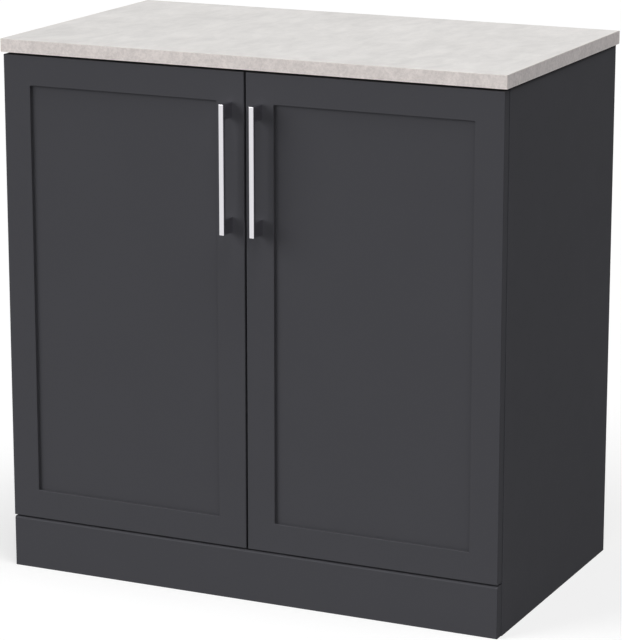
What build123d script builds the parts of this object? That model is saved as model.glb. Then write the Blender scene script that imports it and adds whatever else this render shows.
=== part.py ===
from build123d import *
import os

os.makedirs("parts", exist_ok=True)

# Freestanding two-door bathroom vanity. Millimetres, +Z up, front towards -Y.
# The origin lies on the floor, in the middle of the overall width and depth.

# Carcass boards
carcass_width = 798.0
side_height = 797.0
side_depth = 434.0
board = 15.0
base_plinth_gap = 2.0
rail_width = 96.0
wall_rail_height = 100.0
back_thickness = 3.0
back_setback = 40.0
back_lip = 12.0
back_top_gap = 2.0
groove_depth = 8.0
groove_clearance = 0.15
edge_round = 0.6

# Worktop
worktop_core_thickness = 19.2
laminate_thickness = 0.8
edging_thickness = 1.0
worktop_side_overhang = 2.2
worktop_front_overhang = 1.7
worktop_back_overhang = 9.2
laminate_round = 0.4

# Doors
door_thickness = 16.0
door_top_gap = 3.5
door_plinth_gap = 2.6
door_side_reveal = 1.2
door_centre_gap = 3.0
door_back_gap = 0.7
frame_width = 44.0
recess_depth = 4.2
recess_round = 0.8
recess_corner = 2.0
door_round = 1.0

# Plinth
plinth_height = 78.8
plinth_thickness = 16.0
plinth_top_round = 3.5
plinth_block_size = 22.0
plinth_block_height = 44.0
block_screw_grip = 10.0

# Handles
handle_projection = 29.0
handle_length = 190.5
handle_width = 7.3
handle_bar_thickness = 6.5
handle_leg_width = 6.6
handle_leg_height = 22.5
handle_inset = 22.5
handle_round = 1.5
handle_screw_radius = 1.95
handle_screw_grip = 9.0
handle_head_radius = 4.0
handle_head_height = 2.2

# Shelf
shelf_underside = 430.0
shelf_side_gap = 1.0
shelf_back_gap = 2.0
shelf_front_setback = 24.0
pin_radius = 2.5
pin_length = 16.0
pin_hole_depth = 8.5
pin_row_inset = 50.0
pin_pitch = 64.0
pin_collar_radius = 4.2
pin_collar_thickness = 0.8

# Joints of the carcass
dowel_radius = 4.0
dowel_length = 30.0
dowel_side_depth = 11.0
dowel_edge_inset = 24.0
cam_radius = 7.5
cam_height = 12.0
cam_offset = 24.0
bolt_thread_radius = 2.5
bolt_thread_depth = 11.0
bolt_shank_radius = 3.5
bolt_head_radius = 3.1
cam_bolt_gap = 1.0
cam_slot_length = 7.0
cam_slot_width = 1.6
cam_slot_depth = 2.0
cam_edge_inset = 56.0
hole_clearance = 0.1

# Screws
wood_screw_radius = 1.9
wood_screw_head_radius = 3.4
wood_screw_head_height = 1.6
worktop_screw_length = 30.0
worktop_screw_offset = 268.0
wall_hole_radius = 3.5
wall_hole_spacing = 600.0

# Bumpers
bumper_radius = 4.0
bumper_thickness = 0.6
bumper_side_inset = 12.0
bumper_edge_inset = 6.25

# Concealed hinges. In plan, u runs inward from the side panel's inner face and
# v runs back from the door's back face, with the door closed.
hinge_inset = 95.0
cup_setback = 7.0
cup_radius = 17.5
cup_depth = 11.5
cup_wall = 1.0
cup_side_gap = 0.5
cup_cheek_grip = 2.0
flange_thickness = 1.2
flange_half_width = 12.0
flange_screw_offset = 9.5
flange_screw_spread = 24.0
flange_ear_radius = 5.5
cup_screw_depth = 11.0
outer_arm_pivot = (21.93, 12.46)
outer_cup_pivot = (-4.06, -1.60)
inner_arm_pivot = (12.62, -1.95)
inner_cup_pivot = (-2.48, -5.06)
inner_link_end = (-2.69, -5.62)
outer_link_path = [(22.0, 8.0), (15.0, -5.25), (13.5, -6.0), (10.25, -6.0), (3.25, -2.5), (0.5, -2.5), (-1.5, -1.5)]
inner_link_path = [(12.5, -5.25), (12.0, -6.25), (9.25, -8.0), (6.25, -8.75), (4.5, -8.75)]
outer_link_half = 1.5
inner_link_half = 1.2
arm_pin_radius = 1.5
link_pin_radius = 1.3
cup_stub_radius = 1.0
cup_pin_radius = 0.9
pin_fit = 0.05
pin_head = 0.2
open_pivot_play = 0.72
inner_link_half_height = 4.6
link_plate = 1.5
arm_sheet = 1.5
layer_gap = 0.35
outer_arm_lug = 2.8
outer_cup_lug = 2.1
inner_arm_lug = 2.5
inner_cup_lug = 2.7
arm_nose_outer = 3.2
arm_nose_inner = 2.8
arm_back = 62.0
arm_channel_start = 24.0
arm_low = 4.0
arm_height = 12.0
plate_base = 2.0
plate_start = 25.0
plate_block_half = 6.0
plate_wing_half_width = 6.0
plate_line = 38.0
plate_screw_spread = 16.0
plate_screw_depth = 12.0
arm_screw_positions = (30.0, 52.0)
arm_screw_radius = 2.0
arm_screw_head = 3.4
arm_screw_head_height = 1.6
arm_screw_tip = 4.0

# Positions that follow from the sizes above
overall_depth = handle_projection + door_thickness + door_back_gap + side_depth + worktop_back_overhang
door_front = -overall_depth / 2 + handle_projection
door_back = door_front + door_thickness
carcass_front = door_back + door_back_gap
carcass_back = carcass_front + side_depth
half_width = carcass_width / 2
inner_half = half_width - board
inner_width = carcass_width - 2 * board
base_underside = plinth_height + base_plinth_gap
base_top = base_underside + board
rail_underside = side_height - board
back_rear_face = carcass_back - back_setback
back_front_face = back_rear_face - back_thickness
base_depth = side_depth - back_setback + back_lip
wall_rail_front = carcass_back - board
groove_width = back_thickness + 2 * groove_clearance
door_outer = half_width - door_side_reveal
door_inner = door_centre_gap / 2
door_width = door_outer - door_inner
door_bottom = plinth_height + door_plinth_gap
door_top = side_height - door_top_gap
door_height = door_top - door_bottom
link_layer = inner_link_half_height + layer_gap
arm_layer = link_layer + link_plate + layer_gap
arm_outer_layer = arm_layer + arm_sheet
cup_cavity_half = arm_outer_layer + cup_side_gap
worktop_width = carcass_width + 2 * worktop_side_overhang
worktop_front = door_front - worktop_front_overhang
worktop_back = carcass_back + worktop_back_overhang
worktop_depth = worktop_back - worktop_front
worktop_centre = (worktop_front + worktop_back) / 2
hinge_heights = (door_bottom + hinge_inset, door_top - hinge_inset)
handle_top = door_top - frame_width
handle_middle = handle_top - handle_length / 2
handle_x = door_inner + handle_inset
handle_screw_heights = (
    handle_middle - handle_length / 2 + handle_leg_height / 2,
    handle_middle + handle_length / 2 - handle_leg_height / 2,
)
pin_rows = (carcass_front + pin_row_inset, back_front_face - pin_row_inset)
pin_height = shelf_underside - pin_radius
pin_levels = (pin_height - pin_pitch, pin_height, pin_height + pin_pitch)
block_bottom = (plinth_height - plinth_block_height) / 2
block_low_screw = block_bottom + plinth_block_height / 4
block_high_screw = block_bottom + plinth_block_height * 3 / 4
block_screw_x = inner_half - plinth_block_size / 2
block_screw_y = carcass_front + plinth_block_size / 2
carcass_front_plane = Plane(origin=(0, carcass_front, 0), x_dir=(1, 0, 0), z_dir=(0, -1, 0))


def hinge_point(uv):
    # plan point of the left-hand hinges
    return (-inner_half + uv[0], door_back + uv[1])


def save(builder, name):
    builder.part.label = name
    export_step(builder.part, f"parts/{name}.step")


def save_pair(builder, name):
    # the left-hand piece as built, and its mirror image for the right
    save(builder, f"{name}_left")
    with BuildPart() as other:
        mirror(builder.part, about=Plane.YZ)
    save(other, f"{name}_right")


# Each joint of the carcass: board end, its height, the rows of dowels and the
# rows of cam fittings along Y. The fittings open on the underside.
flat_joints = [
    (base_underside, (carcass_front + dowel_edge_inset, carcass_front + base_depth - dowel_edge_inset),
     (carcass_front + cam_edge_inset, carcass_front + base_depth - cam_edge_inset)),
    (rail_underside, (carcass_front + dowel_edge_inset, carcass_front + rail_width - dowel_edge_inset),
     (carcass_front + rail_width / 2,)),
    (rail_underside, (back_front_face - rail_width + dowel_edge_inset, back_front_face - dowel_edge_inset),
     (back_front_face - rail_width / 2,)),
]
wall_rail_bottoms = (base_underside, side_height - wall_rail_height)
wall_rail_dowels = [
    [(wall_rail_front + board / 2, bottom + dowel_edge_inset),
     (wall_rail_front + board / 2, bottom + wall_rail_height - dowel_edge_inset)]
    for bottom in wall_rail_bottoms
]
dowel_points = [(row, bottom + board / 2) for bottom, rows, cams in flat_joints for row in rows]
dowel_points += wall_rail_dowels[0] + wall_rail_dowels[1]
cam_points = [(row, bottom + board / 2) for bottom, rows, cams in flat_joints for row in cams]


def inner_face(side, offset=0):
    # plane of a side panel's inner face: x_dir runs to the back, y_dir up, normal to the right
    return Plane(origin=(side * (inner_half + offset), 0, 0), x_dir=(0, 1, 0), z_dir=(1, 0, 0))


# Side panels stand on the floor and carry the hinges, the shelf and the rails.
with BuildPart() as side_panel:
    with BuildSketch(Plane.XY):
        with Locations((-half_width + board / 2, carcass_front + side_depth / 2)):
            Rectangle(board, side_depth)
    extrude(amount=side_height)
    chamfer(side_panel.edges().filter_by(Axis.Z).group_by(Axis.Y)[0], edge_round)
    with BuildSketch(inner_face(-1)):
        with Locations((back_front_face + back_thickness / 2, (base_top - groove_depth + side_height) / 2)):
            Rectangle(groove_width, side_height - base_top + groove_depth)
    extrude(amount=-groove_depth, mode=Mode.SUBTRACT)
    with BuildSketch(inner_face(-1)):
        with Locations(*dowel_points):
            Circle(dowel_radius + hole_clearance)
    extrude(amount=-dowel_side_depth, mode=Mode.SUBTRACT)
    with BuildSketch(inner_face(-1)):
        with Locations(*cam_points):
            Circle(bolt_thread_radius + hole_clearance)
    extrude(amount=-bolt_thread_depth - hole_clearance, mode=Mode.SUBTRACT)
    with BuildSketch(inner_face(-1)):
        with Locations(*[(row, level) for row in pin_rows for level in pin_levels]):
            Circle(pin_radius + hole_clearance)
    extrude(amount=-pin_hole_depth, mode=Mode.SUBTRACT)
    with BuildSketch(inner_face(-1)):
        for height in hinge_heights:
            with Locations((door_back + plate_line, height - plate_screw_spread),
                           (door_back + plate_line, height + plate_screw_spread)):
                Circle(wood_screw_radius + hole_clearance)
    extrude(amount=-plate_screw_depth - hole_clearance, mode=Mode.SUBTRACT)
    with BuildSketch(inner_face(-1)):
        with Locations((block_screw_y, block_high_screw)):
            Circle(wood_screw_radius + hole_clearance)
    extrude(amount=-block_screw_grip - hole_clearance, mode=Mode.SUBTRACT)
save_pair(side_panel, "side_panel")


def cross_board(depth, height, front, bottom, dowels_in_ends, cams_in_ends):
    # a board between the side panels, with the dowel holes and cam fittings of both its ends
    with BuildPart() as cross:
        with BuildSketch(Plane.XY.offset(bottom)):
            with Locations((0, front + depth / 2)):
                Rectangle(inner_width, depth)
        extrude(amount=height)
        for side in (-1, 1):
            with BuildSketch(inner_face(side)):
                with Locations(*dowels_in_ends):
                    Circle(dowel_radius + hole_clearance)
            extrude(amount=-side * (dowel_length - dowel_side_depth + hole_clearance), mode=Mode.SUBTRACT)
            if cams_in_ends:
                with BuildSketch(inner_face(side)):
                    with Locations(*cams_in_ends):
                        Circle(bolt_shank_radius + hole_clearance)
                extrude(amount=-side * cam_offset, mode=Mode.SUBTRACT)
                with BuildSketch(Plane.XY.offset(bottom)):
                    with Locations(*[(side * (inner_half - cam_offset), row) for row, level in cams_in_ends]):
                        Circle(cam_radius + hole_clearance)
                extrude(amount=cam_height + hole_clearance, mode=Mode.SUBTRACT)
    return cross


def flat_board(depth, front, joint):
    # a level board: its joint gives the underside and the rows of fittings
    bottom, dowel_rows, cam_rows = joint
    level = bottom + board / 2
    return cross_board(depth, board, front, bottom, [(row, level) for row in dowel_rows],
                       [(row, level) for row in cam_rows])


# The base panel has the groove for the back panel, and shows when the doors are open.
base_blank = flat_board(base_depth, carcass_front, flat_joints[0])
with BuildPart() as base_panel:
    add(base_blank.part)
    with BuildSketch(Plane.XY.offset(base_top)):
        with Locations((0, back_front_face + back_thickness / 2)):
            Rectangle(inner_width, groove_width)
    extrude(amount=-groove_depth, mode=Mode.SUBTRACT)
save(base_panel, "base_panel")

# Two level rails under the worktop, with holes for the screws that hold it.
front_rail_blank = flat_board(rail_width, carcass_front, flat_joints[1])
rear_rail_blank = flat_board(rail_width, back_front_face - rail_width, flat_joints[2])
worktop_screw_points = []
for blank, joint, name in ((front_rail_blank, flat_joints[1], "front_top_rail"),
                           (rear_rail_blank, flat_joints[2], "rear_top_rail")):
    row = joint[2][0]
    rail_screws = [(-worktop_screw_offset, row), (worktop_screw_offset, row)]
    worktop_screw_points += rail_screws
    with BuildPart() as rail:
        add(blank.part)
        with BuildSketch(Plane.XY.offset(rail_underside)):
            with Locations(*rail_screws):
                Circle(wood_screw_radius + hole_clearance)
        extrude(amount=board, mode=Mode.SUBTRACT)
    save(rail, name)

# Two upright rails at the back edge. The upper one takes the wall screws.
lower_rail_blank = cross_board(board, wall_rail_height, wall_rail_front, wall_rail_bottoms[0],
                               wall_rail_dowels[0], [])
save(lower_rail_blank, "wall_rail_lower")
upper_rail_blank = cross_board(board, wall_rail_height, wall_rail_front, wall_rail_bottoms[1],
                               wall_rail_dowels[1], [])
wall_hole_height = wall_rail_bottoms[1] + wall_rail_height / 2
with BuildPart() as wall_rail_upper:
    add(upper_rail_blank.part)
    with BuildSketch(Plane(origin=(0, wall_rail_front, 0), x_dir=(1, 0, 0), z_dir=(0, -1, 0))):
        with Locations((-wall_hole_spacing / 2, wall_hole_height), (wall_hole_spacing / 2, wall_hole_height)):
            Circle(wall_hole_radius)
    extrude(amount=-board, mode=Mode.SUBTRACT)
save(wall_rail_upper, "wall_rail_upper")

# The thin back panel stands in the grooves.
with BuildPart() as back_panel:
    with BuildSketch(Plane.XY.offset(base_top - groove_depth + groove_clearance)):
        with Locations((0, back_front_face + back_thickness / 2)):
            Rectangle(inner_width + 2 * (groove_depth - groove_clearance), back_thickness)
    extrude(amount=side_height - back_top_gap - base_top + groove_depth - groove_clearance)
save(back_panel, "back_panel")

# The loose shelf lies on four pins.
shelf_front = carcass_front + shelf_front_setback
shelf_depth = back_front_face - shelf_back_gap - shelf_front
with BuildPart() as shelf:
    with BuildSketch(Plane.XY.offset(shelf_underside)):
        with Locations((0, shelf_front + shelf_depth / 2)):
            Rectangle(inner_width - 2 * shelf_side_gap, shelf_depth)
    extrude(amount=board)
    chamfer(shelf.edges().filter_by(Axis.X).group_by(Axis.Y)[0], edge_round)
save(shelf, "shelf")

with BuildPart() as shelf_pins:
    for side in (-1, 1):
        with BuildSketch(inner_face(side, pin_hole_depth - hole_clearance)):
            with Locations(*[(row, pin_height) for row in pin_rows]):
                Circle(pin_radius)
        extrude(amount=-side * pin_length)
        with BuildSketch(inner_face(side)):
            with Locations(*[(row, pin_height) for row in pin_rows]):
                Circle(pin_collar_radius)
        extrude(amount=-side * pin_collar_thickness)
save(shelf_pins, "shelf_pins")

# Dowels and cam fittings that hold the boards together.
with BuildPart() as dowels:
    for side in (-1, 1):
        with BuildSketch(inner_face(side, dowel_side_depth)):
            with Locations(*dowel_points):
                Circle(dowel_radius)
        extrude(amount=-side * dowel_length)
save(dowels, "dowels")

bolt_shank_length = cam_offset - cam_radius - cam_bolt_gap
with BuildPart() as cam_bolts:
    for side in (-1, 1):
        with BuildSketch(inner_face(side, bolt_thread_depth)):
            with Locations(*cam_points):
                Circle(bolt_thread_radius)
        extrude(amount=-side * bolt_thread_depth)
        with BuildSketch(inner_face(side)):
            with Locations(*cam_points):
                Circle(bolt_shank_radius)
        extrude(amount=-side * bolt_shank_length)
        with BuildSketch(inner_face(side, -bolt_shank_length)):
            with Locations(*cam_points):
                Circle(bolt_head_radius)
        extrude(amount=-side * cam_radius)
save(cam_bolts, "cam_bolts")

with BuildPart() as cam_locks:
    for side in (-1, 1):
        centre = side * (inner_half - cam_offset)
        for row, height in cam_points:
            with BuildSketch(Plane.XY.offset(height - board / 2)):
                with Locations((centre, row)):
                    Circle(cam_radius)
            extrude(amount=cam_height)
            with BuildSketch(Plane.XY.offset(height - board / 2)):
                with Locations((centre, row)):
                    Rectangle(cam_slot_length, cam_slot_width)
                    Rectangle(cam_slot_width, cam_slot_length)
            extrude(amount=cam_slot_depth, mode=Mode.SUBTRACT)
        with BuildSketch(inner_face(side, -cam_offset)):
            with Locations(*cam_points):
                Circle(bolt_head_radius + 2 * hole_clearance)
        extrude(amount=side * cam_radius, mode=Mode.SUBTRACT)
save(cam_locks, "cam_locks")

# Plinth board in front of the side panels, and the corner blocks that hold it to them.
plinth_front = carcass_front - plinth_thickness
with BuildPart() as plinth_board:
    with BuildSketch(Plane.XY):
        with Locations((0, plinth_front + plinth_thickness / 2)):
            Rectangle(2 * door_outer, plinth_thickness)
    extrude(amount=plinth_height)
    fillet(plinth_board.edges().filter_by(Axis.X).group_by(Axis.Z)[-1].group_by(Axis.Y)[0], plinth_top_round)
    fillet(plinth_board.edges().group_by(Axis.Y)[0], door_round)
    with BuildSketch(carcass_front_plane):
        with Locations((-block_screw_x, block_low_screw), (block_screw_x, block_low_screw)):
            Circle(wood_screw_radius + hole_clearance)
    extrude(amount=block_screw_grip + hole_clearance, mode=Mode.SUBTRACT)
save(plinth_board, "plinth_board")

with BuildPart() as plinth_blocks:
    for side in (-1, 1):
        with BuildSketch(Plane.XY.offset(block_bottom)):
            with Locations((side * block_screw_x, block_screw_y)):
                Rectangle(plinth_block_size, plinth_block_size)
        extrude(amount=plinth_block_height)
        with BuildSketch(carcass_front_plane):
            with Locations((side * block_screw_x, block_low_screw)):
                Circle(wood_screw_radius + hole_clearance)
        extrude(amount=-plinth_block_size, mode=Mode.SUBTRACT)
        with BuildSketch(inner_face(side)):
            with Locations((block_screw_y, block_high_screw)):
                Circle(wood_screw_radius + hole_clearance)
        extrude(amount=-side * plinth_block_size, mode=Mode.SUBTRACT)
save(plinth_blocks, "plinth_blocks")

with BuildPart() as plinth_screws:
    for side in (-1, 1):
        with BuildSketch(carcass_front_plane.offset(-plinth_block_size)):
            with Locations((side * block_screw_x, block_low_screw)):
                Circle(wood_screw_head_radius)
        extrude(amount=-wood_screw_head_height)
        with BuildSketch(carcass_front_plane.offset(-plinth_block_size)):
            with Locations((side * block_screw_x, block_low_screw)):
                Circle(wood_screw_radius)
        extrude(amount=plinth_block_size + block_screw_grip)
        with BuildSketch(inner_face(side, -plinth_block_size)):
            with Locations((block_screw_y, block_high_screw)):
                Circle(wood_screw_head_radius)
        extrude(amount=-side * wood_screw_head_height)
        with BuildSketch(inner_face(side, -plinth_block_size)):
            with Locations((block_screw_y, block_high_screw)):
                Circle(wood_screw_radius)
        extrude(amount=side * (plinth_block_size + block_screw_grip))
save(plinth_screws, "plinth_screws")

# Worktop: chipboard core, edging strips and the laminate on top.
core_width = worktop_width - 2 * edging_thickness
core_depth = worktop_depth - edging_thickness
core_centre = worktop_front + edging_thickness + core_depth / 2
worktop_screw_reach = worktop_screw_length - board
with BuildPart() as worktop_core:
    with BuildSketch(Plane.XY.offset(side_height)):
        with Locations((0, core_centre)):
            Rectangle(core_width, core_depth)
    extrude(amount=worktop_core_thickness)
    with BuildSketch(Plane.XY.offset(side_height)):
        with Locations(*worktop_screw_points):
            Circle(wood_screw_radius + hole_clearance)
    extrude(amount=worktop_screw_reach + hole_clearance, mode=Mode.SUBTRACT)
save(worktop_core, "worktop_core")

with BuildPart() as worktop_laminate:
    with BuildSketch(Plane.XY.offset(side_height + worktop_core_thickness)):
        with Locations((0, worktop_centre)):
            Rectangle(worktop_width, worktop_depth)
    extrude(amount=laminate_thickness)
    fillet(worktop_laminate.edges().group_by(Axis.Z)[-1], laminate_round)
save(worktop_laminate, "worktop_laminate")

with BuildPart() as worktop_front_edging:
    with BuildSketch(Plane.XY.offset(side_height)):
        with Locations((0, worktop_front + edging_thickness / 2)):
            Rectangle(worktop_width, edging_thickness)
    extrude(amount=worktop_core_thickness)
    fillet(worktop_front_edging.edges().filter_by(Axis.X).group_by(Axis.Z)[0].group_by(Axis.Y)[0], laminate_round)
save(worktop_front_edging, "worktop_edging_front")

with BuildPart() as worktop_side_edging:
    with BuildSketch(Plane.XY.offset(side_height)):
        with Locations((-(worktop_width - edging_thickness) / 2, core_centre)):
            Rectangle(edging_thickness, core_depth)
    extrude(amount=worktop_core_thickness)
    fillet(worktop_side_edging.edges().filter_by(Axis.Y).group_by(Axis.Z)[0].group_by(Axis.X)[0], laminate_round)
save_pair(worktop_side_edging, "worktop_edging")

with BuildPart() as worktop_screws:
    with BuildSketch(Plane.XY.offset(rail_underside - wood_screw_head_height)):
        with Locations(*worktop_screw_points):
            Circle(wood_screw_head_radius)
    extrude(amount=wood_screw_head_height)
    with BuildSketch(Plane.XY.offset(rail_underside)):
        with Locations(*worktop_screw_points):
            Circle(wood_screw_radius)
    extrude(amount=worktop_screw_length)
save(worktop_screws, "worktop_screws")

# Doors: one-piece slabs with a recessed panel routed in the front.
left_door_x = -(door_outer + door_inner) / 2
door_front_plane = Plane(origin=(0, door_front, 0), x_dir=(1, 0, 0), z_dir=(0, -1, 0))
door_back_plane = Plane(origin=(0, door_back, 0), x_dir=(1, 0, 0), z_dir=(0, -1, 0))
door_middle = (door_bottom + door_top) / 2
cup_x = hinge_point((cup_setback, 0))[0]
cup_screw_x = hinge_point((cup_setback + flange_screw_offset, 0))[0]
cup_screw_points = [(cup_screw_x, z + side * flange_screw_spread) for z in hinge_heights for side in (-1, 1)]
with BuildPart() as door:
    with BuildSketch(door_back_plane):
        with Locations((left_door_x, door_middle)):
            Rectangle(door_width, door_height)
    extrude(amount=door_thickness)
    fillet(door.edges().group_by(Axis.Y)[0], door_round)
    with BuildSketch(door_front_plane):
        with Locations((left_door_x, door_middle)):
            RectangleRounded(door_width - 2 * frame_width, door_height - 2 * frame_width, recess_corner)
    extrude(amount=-recess_depth, mode=Mode.SUBTRACT)
    fillet(door.faces().sort_by(Axis.Y)[0].inner_wires()[0].edges(), recess_round)
    with BuildSketch(door_back_plane):
        with Locations(*[(cup_x, z) for z in hinge_heights]):
            Circle(cup_radius + pin_fit)
    extrude(amount=cup_depth + pin_fit, mode=Mode.SUBTRACT)
    with BuildSketch(door_back_plane):
        with Locations(*cup_screw_points):
            Circle(wood_screw_radius + hole_clearance)
    extrude(amount=cup_screw_depth + hole_clearance, mode=Mode.SUBTRACT)
    with BuildSketch(door_back_plane):
        with Locations(*[(-handle_x, z) for z in handle_screw_heights]):
            Circle(handle_screw_radius + 2 * hole_clearance)
    extrude(amount=door_thickness, mode=Mode.SUBTRACT)
save_pair(door, "door")

# Handles: a slim bar with a flat leg at each end, cast in one piece.
bar_front = door_front - handle_projection
leg_length = handle_projection - handle_bar_thickness
with BuildPart() as handle:
    with BuildSketch(Plane.XY.offset(handle_middle - handle_length / 2)):
        with Locations((-handle_x, bar_front + handle_bar_thickness / 2)):
            Rectangle(handle_width, handle_bar_thickness)
    extrude(amount=handle_length)
    fillet(handle.edges().filter_by(Axis.Z), handle_round)
    with BuildSketch(door_front_plane):
        for z in handle_screw_heights:
            with Locations((-handle_x, z)):
                Rectangle(handle_leg_width, handle_leg_height)
    extrude(amount=leg_length + handle_bar_thickness / 2)
    with BuildSketch(door_front_plane):
        with Locations(*[(-handle_x, z) for z in handle_screw_heights]):
            Circle(handle_screw_radius + pin_fit)
    extrude(amount=handle_screw_grip + hole_clearance, mode=Mode.SUBTRACT)
save_pair(handle, "handle")

with BuildPart() as handle_screws:
    with BuildSketch(door_back_plane.offset(-handle_head_height)):
        with Locations(*[(-handle_x, z) for z in handle_screw_heights]):
            Circle(handle_head_radius)
    extrude(amount=handle_head_height)
    with BuildSketch(door_back_plane):
        with Locations(*[(-handle_x, z) for z in handle_screw_heights]):
            Circle(handle_screw_radius)
    extrude(amount=door_thickness + handle_screw_grip)
save_pair(handle_screws, "handle_screws")

# Bumpers on the door's back, over the front edges of the base panel and the top rail.
with BuildPart() as bumpers:
    with BuildSketch(door_back_plane.offset(-bumper_thickness)):
        with Locations((-door_inner - bumper_side_inset, base_top - bumper_edge_inset),
                       (-door_inner - bumper_side_inset, rail_underside + bumper_edge_inset)):
            Circle(bumper_radius)
    extrude(amount=bumper_thickness)
save_pair(bumpers, "bumpers")

# Hinge cups: die-cast cups let into the door's back, each with a flange and two screw ears.
hinge_levels = [("lower", hinge_heights[0]), ("upper", hinge_heights[1])]
cheek_reach = cup_cavity_half + cup_cheek_grip
for level, z in hinge_levels:
    ear_points = [(cup_screw_x, z - flange_screw_spread), (cup_screw_x, z + flange_screw_spread)]
    with BuildPart() as hinge_cup:
        with BuildSketch(door_back_plane):
            with Locations((cup_x, z)):
                Circle(cup_radius)
        extrude(amount=cup_depth)
        with BuildSketch(door_back_plane.offset(-flange_thickness)):
            with Locations((cup_screw_x, z)):
                Rectangle(2 * flange_half_width, 2 * flange_screw_spread)
            with Locations(*ear_points):
                Circle(flange_ear_radius)
        extrude(amount=flange_thickness)
        with BuildSketch(door_back_plane.offset(-flange_thickness)):
            with Locations((cup_x, z)):
                Circle(cup_radius - cup_wall)
                Rectangle(2 * cup_radius, 2 * cup_cavity_half, mode=Mode.INTERSECT)
        extrude(amount=flange_thickness + cup_depth - cup_wall, mode=Mode.SUBTRACT)
        with BuildSketch(door_back_plane.offset(-flange_thickness)):
            with Locations(*ear_points):
                Circle(wood_screw_radius + hole_clearance)
        extrude(amount=flange_thickness, mode=Mode.SUBTRACT)
        with BuildSketch(Plane.XY.offset(z - cheek_reach)):
            with Locations(hinge_point(outer_cup_pivot)):
                Circle(cup_stub_radius + pin_fit / 2)
            with Locations(hinge_point(inner_cup_pivot)):
                Circle(cup_pin_radius + pin_fit / 2)
        extrude(amount=2 * cheek_reach, mode=Mode.SUBTRACT)
    save_pair(hinge_cup, f"hinge_cup_{level}")

with BuildPart() as cup_pins:
    for level, z in hinge_levels:
        with BuildSketch(Plane.XY.offset(z - cheek_reach)):
            with Locations(hinge_point(inner_cup_pivot)):
                Circle(cup_pin_radius)
        extrude(amount=2 * cheek_reach)
        for low in (z - cheek_reach, z + link_layer):
            with BuildSketch(Plane.XY.offset(low)):
                with Locations(hinge_point(outer_cup_pivot)):
                    Circle(cup_stub_radius)
            extrude(amount=cheek_reach - link_layer)
save_pair(cup_pins, "cup_pins")

with BuildPart() as cup_screws:
    with BuildSketch(door_back_plane.offset(-flange_thickness - wood_screw_head_height)):
        with Locations(*cup_screw_points):
            Circle(wood_screw_head_radius)
    extrude(amount=wood_screw_head_height)
    with BuildSketch(door_back_plane.offset(-flange_thickness)):
        with Locations(*cup_screw_points):
            Circle(wood_screw_radius)
    extrude(amount=flange_thickness + cup_screw_depth)
save_pair(cup_screws, "cup_screws")


def link_profile(points, half, start_lug, end_lug):
    # a bent flat link in plan, with a round lug at each end
    for start, end in zip(points[:-1], points[1:]):
        middle = ((start[0] + end[0]) / 2, (start[1] + end[1]) / 2)
        SlotCenterPoint(middle, end, 2 * half)
    with Locations(points[0]):
        Circle(start_lug)
    with Locations(points[-1]):
        Circle(end_lug)


outer_points = [hinge_point(p) for p in [outer_arm_pivot] + outer_link_path + [outer_cup_pivot]]
inner_points = [hinge_point(p) for p in [inner_arm_pivot] + inner_link_path + [inner_link_end]]

# Outer links: two flat steel plates in each hinge.
for level, z in hinge_levels:
    with BuildPart() as outer_links:
        for low in (z - link_layer - link_plate, z + link_layer):
            with BuildSketch(Plane.XY.offset(low)):
                link_profile(outer_points, outer_link_half, outer_arm_lug, outer_cup_lug)
                with Locations(outer_points[0]):
                    Circle(arm_pin_radius + pin_fit, mode=Mode.SUBTRACT)
                with Locations(outer_points[-1]):
                    Circle(cup_stub_radius + pin_fit, mode=Mode.SUBTRACT)
            extrude(amount=link_plate)
    save_pair(outer_links, f"outer_links_{level}")

# Inner link: one wide link in each hinge, with play at its cup end.
for level, z in hinge_levels:
    with BuildPart() as inner_link:
        with BuildSketch(Plane.XY.offset(z - inner_link_half_height)):
            link_profile(inner_points, inner_link_half, inner_arm_lug, inner_cup_lug)
            with Locations(inner_points[0]):
                Circle(link_pin_radius + pin_fit, mode=Mode.SUBTRACT)
            with Locations(inner_points[-1]):
                Circle(cup_pin_radius + open_pivot_play, mode=Mode.SUBTRACT)
        extrude(amount=2 * inner_link_half_height)
    save_pair(inner_link, f"inner_link_{level}")

# Hinge arms: pressed steel channels whose two cheeks reach into the cup and hold the links' pins.
arm_screw_rows = [door_back + v for v in arm_screw_positions]
for level, z in hinge_levels:
    with BuildPart() as hinge_arm:
        for low in (z - arm_outer_layer, z + arm_layer):
            with BuildSketch(Plane.XY.offset(low)):
                with Locations(hinge_point(((arm_low + arm_height) / 2, (arm_channel_start + arm_back) / 2))):
                    Rectangle(arm_height - arm_low, arm_back - arm_channel_start)
                with BuildSketch(mode=Mode.PRIVATE) as nose:
                    with Locations(hinge_point(outer_arm_pivot)):
                        Circle(arm_nose_outer)
                    with Locations(hinge_point(inner_arm_pivot)):
                        Circle(arm_nose_inner)
                    with Locations(hinge_point(((arm_low + arm_height) / 2, arm_channel_start))):
                        Circle((arm_height - arm_low) / 2)
                make_hull(nose.edges())
                with Locations(hinge_point(outer_arm_pivot)):
                    Circle(arm_pin_radius + pin_fit / 2, mode=Mode.SUBTRACT)
                with Locations(hinge_point(inner_arm_pivot)):
                    Circle(link_pin_radius + pin_fit / 2, mode=Mode.SUBTRACT)
            extrude(amount=arm_sheet)
        with BuildSketch(inner_face(-1, -arm_height)):
            with Locations((door_back + (arm_channel_start + arm_back) / 2, z)):
                Rectangle(arm_back - arm_channel_start, 2 * arm_outer_layer)
            with Locations(*[(row, z) for row in arm_screw_rows]):
                Circle(arm_screw_radius + 2 * hole_clearance, mode=Mode.SUBTRACT)
        extrude(amount=-arm_sheet)
    save_pair(hinge_arm, f"hinge_arm_{level}")

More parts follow.
